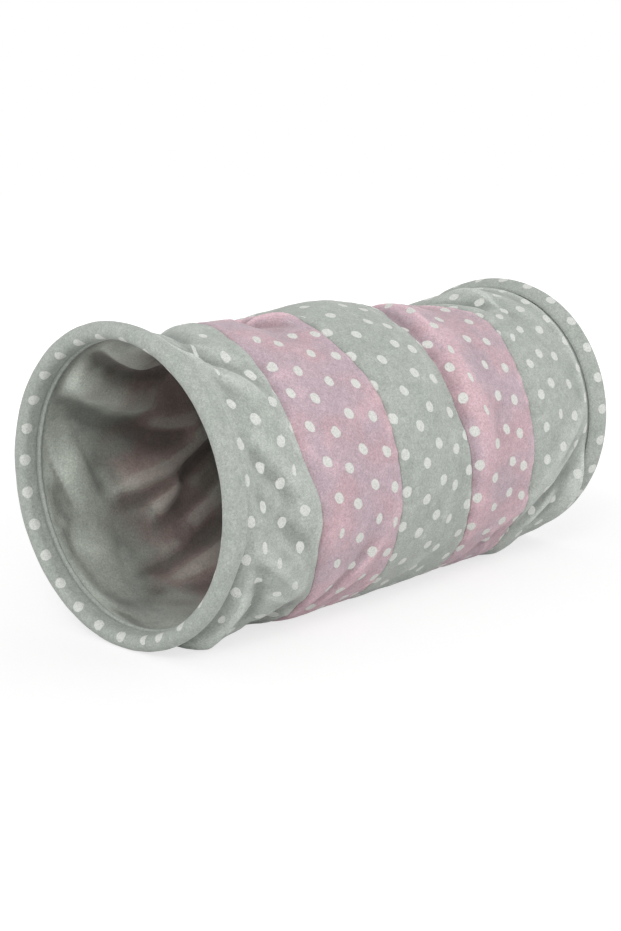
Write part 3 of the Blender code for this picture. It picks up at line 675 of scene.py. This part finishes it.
class Nodes:
    """Short names for building the nodes of a material or of the world."""

    def __init__(self, owner):
        owner.use_nodes = True
        self.owner, self.tree = owner, owner.node_tree

    def link(self, source, target):
        """Join a socket to another, or set it to a plain value."""
        if isinstance(source, (int, float, tuple)):
            target.default_value = source
        else:
            self.tree.links.new(source, target)

    def add(self, kind, inputs=None, **settings):
        node = self.tree.nodes.new(kind)
        for key, value in settings.items():
            setattr(node, key, value)
        for key, value in (inputs or {}).items():
            self.link(value, node.inputs[key])
        return node

    def math(self, operation, first, second=0.0):
        return self.add("ShaderNodeMath", {0: first, 1: second}, operation=operation).outputs[0]

    def plus(self, first, second):
        return self.math("ADD", first, second)

    def times(self, first, second):
        return self.math("MULTIPLY", first, second)

    def swing(self, pattern, amount):
        """A noise as a value that swings about nought."""
        return self.times(self.math("SUBTRACT", pattern, 0.5), amount)

    def step(self, value, low, high, to_low=0.0, to_high=1.0):
        inputs = {"Value": value, "From Min": low, "From Max": high, "To Min": to_low, "To Max": to_high}
        return self.add("ShaderNodeMapRange", inputs, interpolation_type="SMOOTHSTEP").outputs["Result"]

    def number(self, name):
        return self.add("ShaderNodeAttribute", attribute_name=name).outputs["Fac"]

    def place(self):
        """Place on the cloth at rest, in metres, which moves with the cloth."""
        return self.add("ShaderNodeAttribute", attribute_name="rest").outputs["Vector"]

    def apart(self, vector):
        return self.add("ShaderNodeSeparateXYZ", {0: vector}).outputs

    def noise(self, scale, detail=2.0, roughness=0.5, at=None):
        inputs = {"Scale": scale, "Detail": detail, "Roughness": roughness, "Vector": at or self.place()}
        return self.add("ShaderNodeTexNoise", inputs).outputs["Fac"]

    def blend(self, share, first, second):
        inputs = {0: share}
        for key, colour in ((6, first), (7, second)):
            inputs[key] = colour + (1.0,) if isinstance(colour, tuple) else colour
        return self.add("ShaderNodeMix", inputs, data_type="RGBA").outputs[2]

    def shade(self, colour, gain):
        return self.add("ShaderNodeVectorMath", {0: colour, "Scale": gain}, operation="SCALE").outputs[0]

    def vary(self, colour, pattern, amount):
        """The colour lightened and darkened by a noise, by about this share at its extremes."""
        return self.shade(colour, self.plus(self.swing(pattern, 4.0 * amount), 1.0))

    def finish(self, colour, height, distance, strength, **surface):
        """Colour, bump and plain values on the Principled shader; underscores stand for spaces."""
        bump = self.add("ShaderNodeBump", {"Strength": strength, "Distance": distance, "Height": height})
        shader = self.tree.nodes["Principled BSDF"]
        surface = {"Base_Color": colour, "Normal": bump.outputs[0], "Specular_IOR_Level": 0.25, **surface}
        for key, value in surface.items():
            self.link(value, shader.inputs[key.replace("_", " ")])
        return self.owner

    def ray(self, *kinds):
        """One where the ray comes from the camera or is of one of these kinds."""
        path = self.add("ShaderNodeLightPath").outputs
        share = path["Is Camera Ray"]
        for kind in kinds:
            share = self.math("MAXIMUM", share, path[f"Is {kind} Ray"])
        return share

    def show(self, share, first, second, output):
        """Two shaders mixed by a share, as the tree's whole output."""
        mix = self.add("ShaderNodeMixShader", {"Fac": share, 1: first.outputs[0], 2: second.outputs[0]})
        self.add(output, {"Surface": mix.outputs[0]})


def scaled(colour, share):
    return tuple(channel * share for channel in colour)


def shifted(colour, shift):
    return tuple(channel + change for channel, change in zip(colour, shift))


def dot_distance(nodes, columns, rows_round):
    """Millimetres from the nearest dot's centre; columns are (millimetres along, first angle)."""
    row_degrees = 360.0 / rows_round
    cloth = nodes.apart(nodes.add("ShaderNodeUVMap", uv_map="cloth").outputs["UV"])
    along_scale, round_scale = nodes.number("stretch_along"), nodes.number("stretch_round")
    nearest = None
    for mark, first in columns:
        aside = nodes.times(nodes.math("SUBTRACT", cloth[0], mark), along_scale)
        rows = nodes.math("DIVIDE", nodes.math("SUBTRACT", cloth[1], first - 360.0), row_degrees)
        part = nodes.swing(nodes.math("FRACT", nodes.plus(rows, 0.5)), row_degrees)
        up = nodes.times(part, round_scale)
        square = nodes.plus(nodes.times(aside, aside), nodes.times(up, up))
        nearest = square if nearest is None else nodes.math("MINIMUM", nearest, square)
    return nodes.math("SQRT", nearest)


def pile(nodes):
    """The brushed pile, fine fuzz over small tufts: its two noises and its height."""
    fuzz, grain = nodes.noise(1500.0, 2.0, 0.6), nodes.noise(560.0, 3.0, 0.6)
    return fuzz, grain, nodes.plus(nodes.times(fuzz, 0.35), nodes.times(grain, 0.65))


def brushed(nodes, base, fuzz, grain, height, sheen):
    base = nodes.vary(nodes.vary(base, grain, 0.20), fuzz, 0.22)
    surface = {"Roughness": 0.96, "Sheen_Weight": sheen, "Sheen_Roughness": 0.45}
    return nodes.finish(base, height, 0.00085, 0.8, **surface)


def fleece(name, colour, blotch, columns, rows_round):
    """Brushed fleece with a soft pile, printed columns of dots, painted highlights on crests and painted
    shade in hollows.
    """
    nodes = Nodes(bpy.data.materials.new(name))
    fuzz, grain, height = pile(nodes)
    base = nodes.blend(nodes.step(nodes.noise(26.0), 0.38, 0.62), colour, shifted(colour, blotch))
    base = nodes.vary(base, nodes.noise(150.0, 3.0, 0.6), 0.11)
    # Painted light from the cloth's relief: lighter crests, darker hollows, a painted highlight along sharp
    # crests and painted shade in broad hollows.
    relief = nodes.number("relief")
    for value, low, high, share, gain in (
            (relief, 0.08, 0.75, 0.42, 1.26), (relief, -0.10, -1.10, 0.36, 0.62),
            (nodes.number("crest"), 0.22, 0.95, 0.50, 1.55)):
        base = nodes.blend(nodes.step(value, low, high, 0.0, share), base, scaled(colour, gain))
    base = nodes.shade(base, nodes.step(nodes.number("cavity"), -5.5, 2.5, 0.80, 1.04))
    ragged = nodes.plus(dot_distance(nodes, columns, rows_round), nodes.swing(nodes.noise(330.0), 1.8))
    reach = nodes.plus(ragged, nodes.swing(grain, 1.6))
    rim = nodes.step(reach, DOT_RADIUS, DOT_RADIUS + 1.3, 0.16, 0.0)
    base = nodes.blend(rim, base, scaled(colour, 0.5))
    worn = nodes.step(grain, 0.50, 0.70, 0.0, 0.5)
    ink = nodes.blend(worn, DOT_WHITE, nodes.blend(0.55, DOT_WHITE, colour))
    base = nodes.blend(nodes.step(reach, DOT_RADIUS - 0.5, DOT_RADIUS + 0.5, 0.92, 0.0), base, ink)
    return brushed(nodes, base, fuzz, grain, height, 0.25)


def lining_fleece():
    """Plain brushed fleece: painted light near the mouths, painted shade deeper in, and painted pink light
    where the pink bands show through its thin cloth.
    """
    nodes = Nodes(bpy.data.materials.new("lining_fleece"))
    fuzz, grain, height = pile(nodes)
    ragged = nodes.plus(nodes.apart(nodes.place())[0], nodes.swing(nodes.noise(30.0, 3.0, 0.55), 0.16))
    # Painted shade deeper in the tunnel, and painted pink light through the pink band behind.
    deep_shade = nodes.step(nodes.plus(ragged, nodes.number("early")), -0.196, -0.092)
    pink = nodes.times(nodes.step(ragged, -0.150, -0.115), nodes.step(ragged, -0.075, -0.040, 1.0, 0.0))
    inner = nodes.blend(pink, LINING_DEEP_SHADE, LINING_PINK_LIGHT_SHADE)
    base = nodes.blend(nodes.times(deep_shade, nodes.step(ragged, 0.225, 0.130)), LINING_LIT_GREY, inner)
    base = nodes.vary(base, nodes.noise(120.0, 3.0, 0.6), 0.14)
    # Painted highlights on the lining's crests and painted shade in its hollows.
    relief = nodes.number("relief")
    base = nodes.blend(nodes.step(relief, -0.10, -1.10, 0.0, 0.25), base, scaled(LINING_LIT_GREY, 1.25))
    base = nodes.blend(nodes.step(relief, 0.10, 1.10, 0.0, 0.40), base, scaled(LINING_DEEP_SHADE, 0.55))
    base = nodes.shade(base, nodes.step(nodes.number("cavity"), -5.0, 5.0, 1.16, 0.66))
    return brushed(nodes, base, fuzz, grain, height, 0.20)


def thread_material():
    """Two-ply thread: its twist shows as fine slanting ribs, with painted shade and painted highlight along
    them.
    """
    nodes = Nodes(bpy.data.materials.new("sewing_thread"))
    inputs = {"Scale": 900.0, "Distortion": 1.5, "Vector": nodes.place()}
    wave = nodes.add("ShaderNodeTexWave", inputs, wave_type="BANDS", bands_direction="DIAGONAL")
    twist = wave.outputs["Fac"]
    base = nodes.blend(twist, scaled(THREAD_GREY, 0.80), scaled(THREAD_GREY, 1.15))
    return nodes.finish(base, twist, 0.00010, 1.0, Roughness=0.70, Sheen_Weight=0.20, Sheen_Roughness=0.40)


def plastic(name, colour, dull, clear):
    """Extruded or moulded plastic with faint flow lines and scuffs."""
    nodes = Nodes(bpy.data.materials.new(name))
    spot = nodes.add("ShaderNodeTexCoord").outputs["Object"]
    scuffs, flow = nodes.noise(380.0, 4.0, 0.6, spot), nodes.noise(60.0, 3.0, 0.6, spot)
    base = nodes.blend(nodes.step(flow, 0.35, 0.70), colour, scaled(colour, 0.82))
    base = nodes.blend(nodes.step(scuffs, 0.55, 0.80, 0.0, 0.5), base, scaled(colour, 1.15))
    return nodes.finish(base, scuffs, 0.00006, 0.6, Roughness=dull, Specular_IOR_Level=0.5,
                        Transmission_Weight=clear)


# Pieces

def build_band(index, name, *looks):
    edges = [-FREE_END] + [seam[0] for seam in SEAMS] + [FREE_END]
    sewn = (index > 0, index < 4)
    start = edges[index] + (CLEARANCE / 2 if sewn[0] else 0.0)
    end = edges[index + 1] - (CLEARANCE / 2 if sewn[1] else 0.0)
    rows = np.concatenate([
        start + EDGE_ROWS if sewn[0] else [start, start + 0.0013],
        even_rows(start + 0.0026, end - 0.0026, ROW_STEP),
        end - EDGE_ROWS[::-1] if sewn[1] else [end - 0.0013, end],
    ])
    sink = 0.0 * rows
    for edge in [edge for edge, rolled in zip((start, end), sewn) if rolled]:
        near = np.clip(1.0 - np.abs(rows - edge) / EDGE_ROLL_WIDTH, 0.0, 1.0)
        sink = sink + EDGE_ROLL * (1.0 - np.sqrt(1.0 - near ** 2))
    face = wall_grid(rows, band_surface)
    fuzz = 0.00010 * ripples(*np.meshgrid(rows, RING, indexing="ij"), 0.0034, 9)
    share = (rows - edges[index]) / (edges[index + 1] - edges[index])
    marks = printed_marks(DOT_COLUMNS[index], share)
    along, turned_by = print_shift(face)
    values = wall_values(face, marks)
    if index in (0, 4):
        from_casing = np.abs(np.abs(rows) - FREE_END)[:, None]
        open_share = 1.0 - (near_blend(RING) if index == 0 else 0.0)
        values["relief"] = values["relief"] - GROOVE_SHADE * open_share * bell(from_casing, 0.0018)
    outer = under(face, (sink[:, None] - fuzz)[..., None])
    return cloth_piece(name, outer, (face, BAND_CLOTH), marks + along, values, *looks, turned_by=turned_by)


def build_lining(look):
    rows = even_rows(-FREE_END, FREE_END, LINING_ROW_STEP)
    face = wall_grid(rows, lining_surface)
    marks = (rows[:, None] + FREE_END + 0.0 * face[..., 0]) * 1000.0
    values = wall_values(face, marks)
    # Over the top the lining's painted shade starts nearer the mouth.
    over_top = smooth_step((RING - 85.0) / 20.0) * smooth_step((152.0 - RING) / 18.0)
    values["early"] = 0.055 * over_top + 0.0 * marks
    looks = (look, "front_end", "lining_cloth", "lining")
    return cloth_piece("lining_cloth", face, (face, LINING_CLOTH), marks, values, *looks)


def build_seat(name, side, surface, thickness, mark, *looks):
    """The straight edge of a wall cloth, sewn between a casing's flap and lip."""
    rows = SEAT_START + (WALL_END - SEAT_START) * np.linspace(0.0, 1.0, SEAT_ROWS) ** 1.6
    rows = rows if side > 0 else -rows[::-1]
    face = wall_grid(rows, surface)
    marks = (mark + rows - rows[0])[:, None] * 1000.0 + 0.0 * face[..., 0]
    values = {**wall_values(face, marks), "early": 0.0 * marks}
    return cloth_piece(name, face, (face, thickness), marks, values, *looks)


def arc_points(radius, turns):
    return [(radius * math.cos(turn), radius * math.sin(turn)) for turn in np.radians(turns)]


def rim_section():
    """Section of a casing as (towards the middle, from the hoop) pairs, outside then inside."""
    edge, lip = CASING_REACH * 1000.0, LIP_OUT * 1000.0
    flap = [(edge - 0.1, -2.1), (edge, -1.6), (edge - 0.2, -1.1)]
    flap += [(11.5, 0.5), (9.8, 2.3), (7.8, 4.0), (5.6, 5.3)]
    groove = [
        (1.2, -6.80), (3.2, -6.92), (5.2, -7.00), (6.6, -6.92), (7.6, -6.60), (8.3, -6.28), (8.9, -6.28),
        (9.6, -6.80), (10.4, -7.42), (11.2, -7.72), (12.0, -7.62), (12.6, -7.22), (edge, -6.60),
        (edge - 0.1, lip),
    ]
    outside = flap + arc_points(CASING_RADIUS * 1000.0, np.linspace(62.0, 262.0, 27)) + groove
    inside = [(10.0, lip + 0.04), (7.0, lip), (3.0, lip + 0.2)]
    inside += arc_points((CASING_RADIUS - CASING_CLOTH) * 1000.0, np.linspace(262.0, 62.0, 19))
    inside += [(5.0, 3.3), (7.5, 1.5), (10.0, -0.4), (11.8, -1.9)]
    section = np.array(outside + inside) / 1000.0
    marks = np.concatenate([[0.0], np.cumsum(length(np.diff(section, axis=0)))]) * 1000.0
    return section, marks, len(outside)


def build_rim(name, side, look, body, node):
    """One casing: fleece sewn round the hoop, puckered along its stitched groove."""
    section, marks, outside = rim_section()
    mark_grid, angle = np.meshgrid(marks, RING, indexing="ij")
    reach, out = (section[:, number][:, None] + 0.0 * angle for number in (0, 1))
    turn = np.arctan2(out, reach)
    soft = (np.arange(len(section)) < outside)[:, None] * 1.0
    swell = 0.00022 * ripples(reach * 3.0 + side, angle, 0.030, 20 + side)
    swell = swell + 0.00012 * ripples(reach * 2.0, angle + out * 900.0, 0.010, 24 + side)
    puckers = 0.00022 * ripples(0.0 * reach + side, angle, 0.0060, 28 + side)
    edge = soft * smooth_step((reach - 0.0085) / 0.002) * (out < -0.004)
    push = soft * smooth_step((0.0075 - reach) / 0.004) * swell + edge * puckers
    reach, out = reach + push * np.cos(turn), out + push * np.sin(turn)
    front = 1.0 * (side < 0.0)
    near = front * near_blend(angle) * (out > -0.003)
    thin = np.where(out > 0.0056 - reach * 0.58, 0.0011 * smooth_step((reach - 0.009) / 0.003), 0.0)
    out = out + near * (BLEND_RISE * smooth_step((reach - 0.004) / 0.0075) - thin)
    x = side * (HOOP_SPACING / 2 - reach)
    radius = HOOP_RADIUS + out - slump(x, angle)
    spin = np.radians(angle)
    z = soft_floor(AXIS_HEIGHT + radius * np.sin(spin), RIM_LIFT, RIM_EASE)
    points = np.stack([x, -radius * np.cos(spin), z], -1)
    faces, at_row, at_column = tube_quads(len(section) + 1, AROUND, 0, side < 0)
    total = marks[-1] + length(section[0] - section[-1]) * 1000.0
    corner_marks = np.concatenate([marks, [total]])[at_row]
    corner_angle = RING[0] + 360.0 * at_column / AROUND
    after_join = at_column.min(axis=-1, keepdims=True) >= CASING_JOIN_COLUMN
    shift = front * CASING_JOIN_SHIFT * smooth_step((-20.0 - corner_angle) / 40.0) * after_join
    drift = front * np.interp(corner_angle, *zip(*RIM_PRINT_DRIFT))
    corners = {
        "cloth": np.stack([corner_marks + drift, corner_angle + shift], -1),
        "OFBake": bake_spot(at_column / AROUND, 0.005 + 0.99 * corner_marks / total),
    }
    open_share = 1.0 - front * near_blend(angle)
    join = front * bell(angle - RING[CASING_JOIN_COLUMN], 0.9)
    # Painted highlight on the lip's rolled edge, painted shade in the topstitch groove and in the groove
    # beside the casing, and a dark line at the strip's join.
    relief = 0.25 * bell(mark_grid - marks[outside - 4], 1.6)
    relief = relief - 0.9 * bell(mark_grid - marks[outside - 9], 0.9)
    relief = relief - GROOVE_SHADE * open_share * bell(mark_grid - 1.0, 1.8) - join
    values = {"stretch_along": 1.0 + 0.0 * angle, "stretch_round": round_millimetres(points)}
    values["relief"] = soft * relief
    faces = (faces % (len(section) * AROUND)).tolist()
    return make_piece(name, points, faces, corners, values, look, body, "grey_casing", node)


def rim_mark(turn):
    """Millimetres along the section at a turn round the bead, for placing a row of dots."""
    section, marks, _ = rim_section()
    bead = slice(7, 34)
    turns = np.degrees(np.arctan2(section[bead, 1], section[bead, 0])) % 360.0
    return float(np.interp(turn, turns, marks[bead]))


def build_stitches(name, side, *looks):
    """The row of topstitches in the groove of a casing's inner side."""
    row_radius = HOOP_RADIUS - STITCH_DEPTH
    count = int(round(2.0 * math.pi * row_radius / STITCH_PITCH))
    lean = STITCH_LENGTH / 2 * math.sin(math.radians(STITCH_SLANT) * side)
    points, faces = [], []
    for stitch in range(count):
        middle = 360.0 * (stitch + 0.5) / count
        first = len(points)
        for ring in range(STITCH_RINGS):
            share = ring / (STITCH_RINGS - 1) * 2.0 - 1.0
            thick = STITCH_THREAD * math.sqrt(max(1.0 - abs(share) ** 6, 0.04))
            angle = math.radians(middle + math.degrees(share * STITCH_LENGTH / 2 / row_radius))
            x = side * (HOOP_SPACING / 2 - STITCH_INSET) + share * lean
            sunk = row_radius + STITCH_SINK * abs(share) ** 3 - float(slump(x, math.degrees(angle)))
            for corner in range(STITCH_SIDES):
                turn = 2.0 * math.pi * corner / STITCH_SIDES
                out = sunk - thick * math.sin(turn)
                height = AXIS_HEIGHT + out * math.sin(angle)
                points.append((x + thick * math.cos(turn), -out * math.cos(angle), height))
        loops = np.arange(first, len(points)).reshape(STITCH_RINGS, STITCH_SIDES).tolist()
        for loop, following in zip(loops, loops[1:]):
            for corner in range(STITCH_SIDES):
                beside = (corner + 1) % STITCH_SIDES
                faces.append((loop[corner], loop[beside], following[beside], following[corner]))
        faces += [tuple(reversed(loops[0])), tuple(loops[-1])]
    return make_piece(name, np.array(points), faces, {}, {}, *looks)


def build_tunnel():
    bands, fleeces = [], []
    for index, columns in enumerate(DOT_COLUMNS):
        name = f"band_{index + 1}"
        colour, blotch, word = (PINK, PINK_BLOTCH, "pink") if index % 2 else (GREY, GREY_BLOTCH, "grey")
        starts = [(DOT_PITCH * number, column[0]) for number, column in enumerate(columns)]
        fleeces.append(fleece(name + "_fleece", colour, blotch, starts, DOT_ROWS[index]))
        looks = (fleeces[-1], "front_end", word + "_band", name + "_" + word)
        bands.append(build_band(index, name + "_cloth", *looks))
    lining_look = lining_fleece()
    lining = build_lining(lining_look)
    thread = thread_material()
    tube, plug = plastic("clear_tube", TUBE_GREY, 0.34, 0.35), plastic("dark_plug", PLUG_GREY, 0.45, 0.0)
    band_seats, lining_seats = [], []
    for end, side, columns, cloth, mark in (
            ("front", -1.0, ((rim_mark(246.0), 4.0),), fleeces[0], -0.020),
            ("rear", 1.0, ((rim_mark(62.0), 5.0), (rim_mark(76.0) + DOT_PITCH, 11.7)), fleeces[4], 0.120)):
        body = end + "_end"
        look = fleece(end + "_rim_fleece", GREY, GREY_BLOTCH, columns, RIM_DOT_ROWS)
        rim = build_rim(end + "_rim_cloth", side, look, body, end + "_rim_casing")
        looks = (thread, body, "thread", end + "_rim_stitching")
        stitches = build_stitches(end + "_rim_topstitch", side, *looks)
        looks = (BAND_CLOTH, mark, cloth, body, "grey_band")
        band_seats.append(build_seat(end + "_band_seat", side, band_surface, *looks))
        looks = (LINING_CLOTH, 0.0, lining_look, body, "lining_cloth")
        lining_seats.append(build_seat(end + "_lining_seat", side, lining_surface, *looks))
        for name, finish, slot in (("_hoop", tube, "hoop_tube"), ("_hoop_joiner", plug, "joiner_plug")):
            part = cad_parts[end + name]
            for place in part.material_slots:
                place.link = "OBJECT"
                place.material = finish
    for piece in bands + [lining]:
        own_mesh(piece)


# Studio

def build_floor():
    reach = 5.0
    mesh = bpy.data.meshes.new("floor")
    corners = [(-reach, -reach, 0), (reach, -reach, 0), (reach, reach, 0), (-reach, reach, 0)]
    mesh.from_pydata(corners, [], [(0, 1, 2, 3)])
    floor = add_object("floor", mesh)
    floor.location.z = -0.0002
    look = bpy.data.materials.new("pale_floor")
    nodes = Nodes(look)
    nodes.tree.nodes.clear()
    spot = nodes.add("ShaderNodeTexCoord").outputs["Object"]
    away = nodes.add("ShaderNodeVectorMath", {0: spot}, operation="LENGTH").outputs["Value"]
    plain = nodes.add("ShaderNodeBsdfDiffuse", {"Color": (0.85, 0.85, 0.85, 1.0)})
    white = nodes.add("ShaderNodeEmission", {"Strength": 1.2})
    share = nodes.times(nodes.ray("Glossy"), nodes.step(away, 0.35, 0.80, 0.60))
    nodes.show(share, plain, white, "ShaderNodeOutputMaterial")
    mesh.materials.append(look)


def build_light():
    world = bpy.data.worlds.new("studio")
    bpy.context.scene.world = world
    nodes = Nodes(world)
    nodes.tree.nodes.clear()
    soft, white = (nodes.add("ShaderNodeBackground", {"Color": (1.0, 1.0, 1.0, 1.0), "Strength": strength})
                   for strength in (SOFT_LIGHT, 1.0))
    nodes.show(nodes.ray("Glossy", "Transmission"), soft, white, "ShaderNodeOutputWorld")
    for name, spot, size, energy in LAMPS:
        lamp = bpy.data.lights.new(name, "AREA")
        lamp.shape = "SQUARE"
        lamp.size = size
        lamp.energy = energy
        item = add_object(name, lamp)
        item.location = spot
        item.rotation_euler = (Vector(spot) - LAMP_AIM).to_track_quat("Z", "Y").to_euler()


def build_camera():
    """The photograph's own viewpoint."""
    azimuth, elevation = math.radians(CAMERA_AZIMUTH), math.radians(CAMERA_ELEVATION)
    flat = math.cos(elevation)
    back = Vector((math.sin(azimuth) * flat, -math.cos(azimuth) * flat, math.sin(elevation)))
    lens = bpy.data.cameras.new("camera")
    lens.sensor_fit = "VERTICAL"
    lens.sensor_height = 36.0
    lens.lens = CAMERA_LENS
    lens.shift_x, lens.shift_y = CAMERA_SHIFT
    lens.clip_start, lens.clip_end = 0.01, 50.0
    item = add_object("camera", lens)
    item.location = back * CAMERA_DISTANCE + Vector((0.0, 0.0, AXIS_HEIGHT))
    item.rotation_euler = back.to_track_quat("Z", "Y").to_euler()
    bpy.context.scene.camera = item


build_camera()
build_floor()
build_light()
build_tunnel()
bpy.context.scene.view_settings.view_transform = "Standard"
